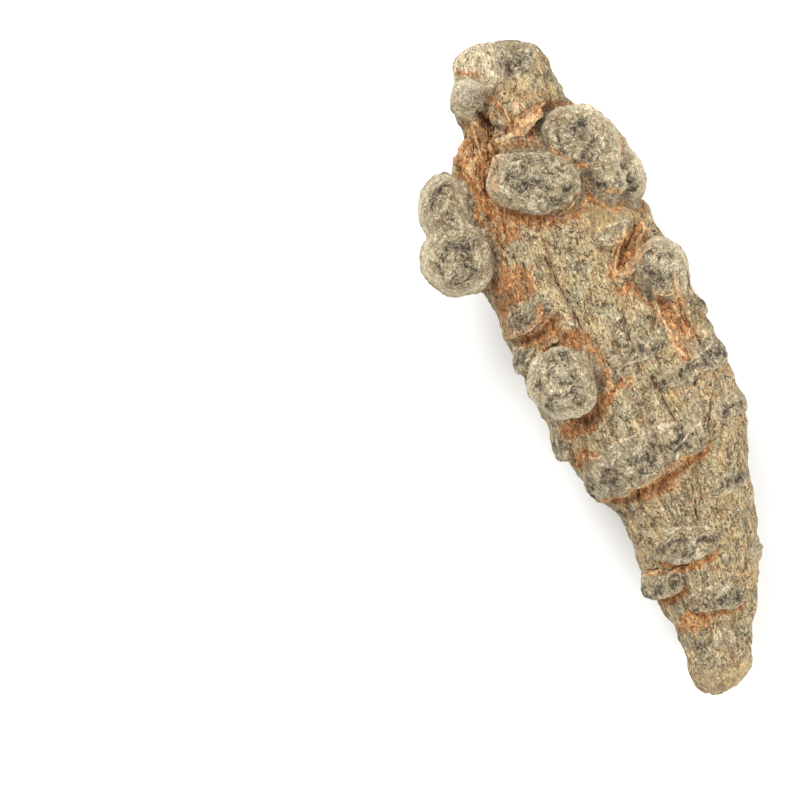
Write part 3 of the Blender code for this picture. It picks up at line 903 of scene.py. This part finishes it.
# %% Khaki skin
KHAKI = (0.335, 0.246, 0.117, 1.0)
OLIVE = (0.262, 0.226, 0.130, 1.0)
TAN = (0.460, 0.300, 0.132, 1.0)
OCHRE = (0.500, 0.345, 0.120, 1.0)
STRAW = (0.790, 0.665, 0.440, 1.0)
UMBER = (0.066, 0.043, 0.024, 1.0)
RUST = (0.560, 0.218, 0.060, 1.0)
FINGERPRINT_SCALE = 0.75

fray = cloud((1.8, 1.1, 1.8), 61.0, 4.0) - 0.5
flecked = 1.0 - read("smooth") * 0.75 - read("bleached") * 0.25
near_rust = between(read("rust") + fray, 0.0, 0.55)
body = blend(KHAKI, OLIVE, between(cloud((0.26, 0.16, 0.26), 1.0, 3.0), 0.44, 0.58))
body = blend(body, TAN, between(cloud((0.42, 0.28, 0.42), 5.0, 3.0), 0.49, 0.62) * 0.8)
body = blend(body, TAN, read("smooth") * 0.5)
body = blend(body, TAN, near_rust * 0.8)
body = blend(body, OCHRE, between(cloud((0.9, 0.6, 0.9), 85.0, 3.0), 0.50, 0.64) * 0.45)
# Straw on the pale tip and, as painted light, on the cap's left side and the knobs' rims.
body = blend(body, STRAW, read("bleached") * 0.8)

waves = Wire.node("ShaderNodeTexWave", {"bands_direction": "X"}, {
    "Vector": stretched((1.0, 0.45, 1.0), 3.0), "Scale": FINGERPRINT_SCALE,
    "Distortion": 11.0, "Detail": 3.0, "Detail Scale": 1.2,
}, "Fac")
mottle = cloud((2.3, 1.5, 2.3), 9.0, 4.0, 1.4)
pale_string = strings((1.8, 1.05, 1.8), 17.0, 0.065, 1.8)
broken = between(cloud((1.1, 0.8, 1.1), 13.0, 2.0), 0.46, 0.56)
dark_string = strings((1.5, 0.85, 1.5), 23.0, 0.055, 1.8) * broken
rusty_vein = strings((0.9, 0.5, 0.9), 89.0, 0.022, 1.4) * broken
fleck = 1.0 - between(cloud((1.7, 1.25, 1.7), 31.0, 3.0, 1.6), 0.345, 0.415)

body = blend(body, UMBER, (1.0 - between(waves, 0.0, 0.45)) * 0.34 * flecked)
body = blend(body, STRAW, between(waves, 0.60, 1.0) * 0.16 * flecked)
body = blend(body, STRAW, between(mottle, 0.50, 0.66) * 0.33 * flecked)
body = blend(body, STRAW, pale_string * 0.52 * flecked)
body = blend(body, UMBER, dark_string * 0.72 * flecked)
body = blend(body, UMBER, fleck * 0.85 * flecked)
body = blend(body, RUST, rusty_vein * 0.60 * flecked)
print("nodes for the skin:", len(Wire.tree.nodes))

# %% [markdown]
# ## The bark of knobs and scars
#
# Knobs and scars have an older bark, warm grey with mossy, tan and straw tints, pale mineral specks
# and charcoal pits. The pits gather in the middle of each knob and scar, which the core attribute
# marks, and the same winding lines, now as long as they are wide, net it over. Last, the rims of the
# knobs and the left side of the stump's cap take the tone of putty, partly their own pale colour and
# partly painted light.

# %% Bark
GREIGE = (0.455, 0.342, 0.190, 1.0)
MOSS = (0.345, 0.270, 0.112, 1.0)
SLATE = (0.160, 0.124, 0.077, 1.0)
CHARCOAL = (0.048, 0.038, 0.027, 1.0)
CHALK = (0.830, 0.720, 0.500, 1.0)
PUTTY_AND_LIGHT = (0.880, 0.760, 0.535, 1.0)

drifting = cloud((0.60, 0.52, 0.60), 37.0, 3.0) - 0.5
gathered = between(read("core") * 0.5 + drifting * 1.7, 0.22, 0.52)
pits = cloud((1.35, 1.2, 1.35), 41.0, 6.0, 1.0, 0.66)
chalk_net = strings((2.0, 1.7, 2.0), 47.0, 0.055, 2.2)
worm = strings((1.6, 1.4, 1.6), 53.0, 0.050, 2.2)
old_bark = blend(GREIGE, SLATE, (1.0 - between(pits, 0.41, 0.52)) * (0.35 + 0.50 * gathered))
old_bark = blend(old_bark, MOSS, between(cloud((0.5, 0.45, 0.5), 57.0, 3.0), 0.47, 0.60) * 0.45)
old_bark = blend(old_bark, TAN, between(cloud((0.7, 0.6, 0.7), 59.0, 3.0), 0.51, 0.62) * 0.55)
old_bark = blend(old_bark, CHALK, between(pits, 0.51, 0.59) * 0.76)
old_bark = blend(old_bark, CHALK, chalk_net * 0.86)
old_bark = blend(old_bark, SLATE, gathered * 0.55)
old_bark = blend(old_bark, STRAW, between(cloud((0.8, 0.7, 0.8), 91.0, 4.0), 0.54, 0.66) * 0.45)
old_bark = blend(old_bark, CHARCOAL, worm * (0.50 + 0.38 * gathered))
old_bark = blend(old_bark, CHARCOAL, (1.0 - between(pits, 0.42, 0.48)) * (0.30 + 0.62 * gathered))
# Putty on the knobs' rims and the cap's left side: partly their own colour, partly painted light.
old_bark = blend(old_bark, PUTTY_AND_LIGHT, read("bleached") * 0.68)
print("nodes with the bark:", len(Wire.tree.nodes))

# %% [markdown]
# ## Rust, rims and tears
#
# In the creases and under the ledges the inner bark shows, rusty orange and fibrous, and the edge of
# each scar has a thin pale rim, warmer where rust is near. The same pale colour is painted light on
# the knobs' sideways rims and, partly, a painted highlight on the neck's strands. Tears, cracks, the
# gaps between strands and the deepest creases darken to deep rust, partly as painted shade. The
# masks from the mesh are soft, so noise is added before they are cut sharp, and every border frays.

# %% Rust, rims and tears
# The darkest rust, which also serves as painted shade in tears, cracks and creases.
DEEP_RUST_AND_SHADE = (0.150, 0.050, 0.016, 1.0)
PALE_RUST = (0.860, 0.515, 0.235, 1.0)
CREAM = (0.800, 0.690, 0.480, 1.0)

bark_patches = between(cloud((0.50, 0.38, 0.50), 79.0, 3.0), 0.50, 0.62) * 0.35
bark_mask = between(read("bark") + bark_patches + fray * 1.4, 0.34, 0.66)
rust_mask = between(read("rust") + fray * 2.0, 0.25, 0.85)
pale_and_lit_mask = between(read("pale") + fray * 2.0, 0.50, 0.78)
torn_shade_mask = between(read("torn") + fray * 0.7, 0.48, 0.78)

rust_fibre = cloud((2.6, 1.3, 2.6), 67.0, 4.0, 1.2)
rust_colour = blend(DEEP_RUST_AND_SHADE, RUST, between(rust_fibre, 0.36, 0.54))
rust_colour = blend(rust_colour, PALE_RUST, between(rust_fibre, 0.55, 0.68))

colour = blend(body, rust_colour, rust_mask * 0.88)
colour = blend(colour, old_bark, bark_mask)
# The pale colour: real rims and edges, plus painted light on the knobs' rims and a painted highlight on
# the strands' tops.
colour = blend(colour, blend(CREAM, PALE_RUST, near_rust * 0.85), pale_and_lit_mask * 0.80)
# Tears, cracks and the gaps between strands darken to deep rust: partly painted shade.
colour = blend(colour, DEEP_RUST_AND_SHADE, torn_shade_mask * 0.85)
# Folds, knob grooves and deep patches darken to deep rust: partly painted shade.
colour = blend(colour, DEEP_RUST_AND_SHADE, between(read("crease"), 0.60, 1.0) * 0.40)
print("nodes with the rust:", len(Wire.tree.nodes))

# %% [markdown]
# ## Relief too fine for the mesh, and the surface itself
#
# What is left is grain below a third of a millimetre, which a Bump node can carry: the pale lines
# stand up and the dark ones lie lower. The same grain also makes the colour a little lighter and
# darker. The dried skin is dull, so the roughness is high.

# %% Surface
BUMP_DISTANCE = 0.26 * MM
SPECULAR = 0.35

grain = cloud((4.6, 2.6, 4.6), 71.0, 3.0)
height = pale_string * 0.5 - dark_string * 0.7 - fleck * 0.6 + mottle * 0.8
bark_height = chalk_net * 0.5 - worm * 0.6 + pits * 2.0
relief = height * (1.0 - bark_mask) + bark_height * bark_mask + rust_fibre * rust_mask
relief = relief + grain * 0.9
bump = Wire.node(
    "ShaderNodeBump", (), {"Height": relief, "Strength": 1.0, "Distance": BUMP_DISTANCE}
)
shade = grain * 1.5 + 0.25
colour = Wire.node("ShaderNodeVectorMath", {"operation": "SCALE"}, {0: colour, "Scale": shade})
roughness = 0.88 - pale_and_lit_mask * 0.12

shader = Wire.tree.nodes["Principled BSDF"]
shader.inputs["Metallic"].default_value = 0.0
shader.inputs["Specular IOR Level"].default_value = SPECULAR
Wire.tree.links.new(colour.socket, shader.inputs["Base Color"])
Wire.tree.links.new(roughness.socket, shader.inputs["Roughness"])
Wire.tree.links.new(bump.socket, shader.inputs["Normal"])
skin_mesh.materials.append(root_finish)
print("the finish has", len(Wire.tree.nodes), "nodes")

# %% [markdown]
# ## Flakes and slivers
#
# Round the neck, the tears and the foot of some knobs, thin bark has come loose and curls up. A
# flake is a strip that follows a stroke over the skin: one edge is sunk in, the other one stands
# off. We lay a flat grid, bend it over the stroke, which a ray from above finds on the skin, and let
# noise nibble its free edge. The slivers at the neck are the same strips, narrow and rusty, drawn
# by a seeded rule. All of them carry the skin's own attributes, so that they take the same finish.

# %% Flakes and slivers
from mathutils.bvhtree import BVHTree

FLAKES = (
    (((1.6, 26.4), (0.5, 25.7), (-0.8, 25.1), (-2.4, 24.8)), 0.65, 0.45),
    (((6.3, 10.4), (5.3, 9.5), (4.3, 8.6), (3.4, 8.1)), 0.70, 0.60),
    (((2.7, 9.2), (3.4, 10.2), (4.6, 11.3), (5.8, 12.2)), 0.50, 0.45),
    (((6.2, 0.4), (5.8, 2.2), (5.8, 4.0), (6.1, 5.6)), 0.45, 0.50),
    (((7.8, 4.9), (7.6, 3.6), (7.4, 2.4)), 0.45, 0.45),
    (((8.4, 5.5), (7.0, 5.5), (6.0, 6.1)), 0.60, 0.45),
    (((-0.7, -1.3), (-1.2, -1.5), (-1.8, -2.0)), 0.55, 0.55),
    (((-4.2, 4.5), (-5.0, 4.8), (-5.8, 4.4)), 0.70, 0.50),
    (((-6.5, 3.9), (-7.1, 4.1), (-7.5, 3.3)), 0.55, 0.45),
    (((2.3, 27.3), (1.0, 26.7), (-0.4, 26.3), (-1.7, 26.1)), 0.60, 0.35),
    (((-1.9, 26.1), (-2.6, 27.0), (-3.0, 28.4)), 0.50, 0.40),
    (((4.4, -10.3), (2.3, -10.8), (0.7, -11.2), (-1.0, -11.7), (-4.0, -11.9)), 0.50, 0.25),
    (((6.0, 16.4), (5.2, 16.8), (4.4, 16.7)), 0.60, 0.40),
    (((-4.7, 7.2), (-6.7, 6.4), (-8.9, 6.2)), 0.45, 0.30),
    (((1.9, 17.2), (0.9, 16.5), (-0.8, 16.0)), 0.45, 0.30),
    (((-1.4, 16.0), (-3.6, 16.6), (-5.2, 17.8)), 0.50, 0.35),
)
SLIVERS = 16
SLIVER_SEED = 5
SLIVER_RANGES = ((-6.0, -3.6), (22.5, 27.4), (-1.0, 0.2), (1.4, 3.2), (0.30, 0.60), (0.25, 0.60))
FLAKE_STEPS = 18
FLAKE_ROWS = 4
SUNK_IN = 0.15
FLAKE_THICKNESS = 0.09
ABOVE_ALL = 40.0

surface = BVHTree.FromObject(skin, bpy.context.evaluated_depsgraph_get())


def on_stroke(stroke, share):
    """The place on the skin at a share of the stroke's length, and the way out from the root there."""
    corners = np.array(stroke)
    reached = np.insert(np.cumsum(np.linalg.norm(np.diff(corners, axis=0), axis=1)), 0, 0.0)
    x, y = (float(np.interp(share * reached[-1], reached, corners[:, axis])) for axis in (0, 1))
    above = (Vector((x, y, ABOVE_ALL)) - MIDDLE) * MM
    place = surface.ray_cast(above, Vector((0, 0, -1)))[0] / MM + MIDDLE
    axis_x, axis_z = (float(value[0]) for value in section_at(y)[:2])
    return place, Vector((x - axis_x, 0.0, place.z - axis_z)).normalized()


def add_flake(bm, stroke, width, lift):
    """A strip along the stroke, its first row sunk in and its last one standing off by the lift."""
    seed = stroke[0][0] * 7.3 + stroke[0][1]
    grid = bmesh.ops.create_grid(bm, x_segments=FLAKE_STEPS, y_segments=FLAKE_ROWS, size=0.5)
    for vert in grid["verts"]:
        share, row = vert.co.x + 0.5, vert.co.y + 0.5
        place, outward = on_stroke(stroke, share)
        ahead, behind = (on_stroke(stroke, min(max(share + by, 0), 1))[0] for by in (0.1, -0.1))
        sideways = outward.cross(ahead - behind).normalized()
        fullness = math.sin(math.pi * (0.06 + 0.88 * share)) ** 0.6
        ragged = 0.8 + 0.7 * noise.noise(Vector((share * 5.0, row, seed)))
        out = sideways * width * row * fullness * ragged
        out += outward * (lift * row**1.5 * fullness * ragged - SUNK_IN)
        vert.co = (place + out - MIDDLE) * MM


def flake_object(name, strips, **looks):
    """All the strips as one object, with one value for each of the skin's attributes that they use."""
    bm = bmesh.new()
    for stroke, width, lift in strips:
        add_flake(bm, stroke, width, lift)
    made = object_from(bm, name)
    made.data.shade_smooth()
    made.data.materials.append(root_finish)
    for attribute_name, value in looks.items():
        layer = made.data.attributes.new(attribute_name, "FLOAT", "POINT")
        layer.data.foreach_set("value", np.full(len(made.data.vertices), value, np.float32))
    thicken = made.modifiers.new("thicken", "SOLIDIFY")
    thicken.thickness = FLAKE_THICKNESS * MM
    print(name, "has", len(strips), "strips")
    return made


draw = random.Random(SLIVER_SEED)
slivers = []
for _ in range(SLIVERS):
    x, y, lean, length, width, lift = (draw.uniform(*limits) for limits in SLIVER_RANGES)
    slivers.append((((x, y), (x + lean / 2, y - length / 2), (x + lean, y - length)), width, lift))
flakes = flake_object("bark_flakes", FLAKES, pale=0.55, rust=0.45)
neck_slivers = flake_object("neck_slivers", slivers, pale=0.35, rust=0.75)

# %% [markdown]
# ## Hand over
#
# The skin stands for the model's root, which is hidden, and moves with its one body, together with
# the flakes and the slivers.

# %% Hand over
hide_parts("notoginseng_root")
for piece in (skin, flakes, neck_slivers):
    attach(piece, "root")
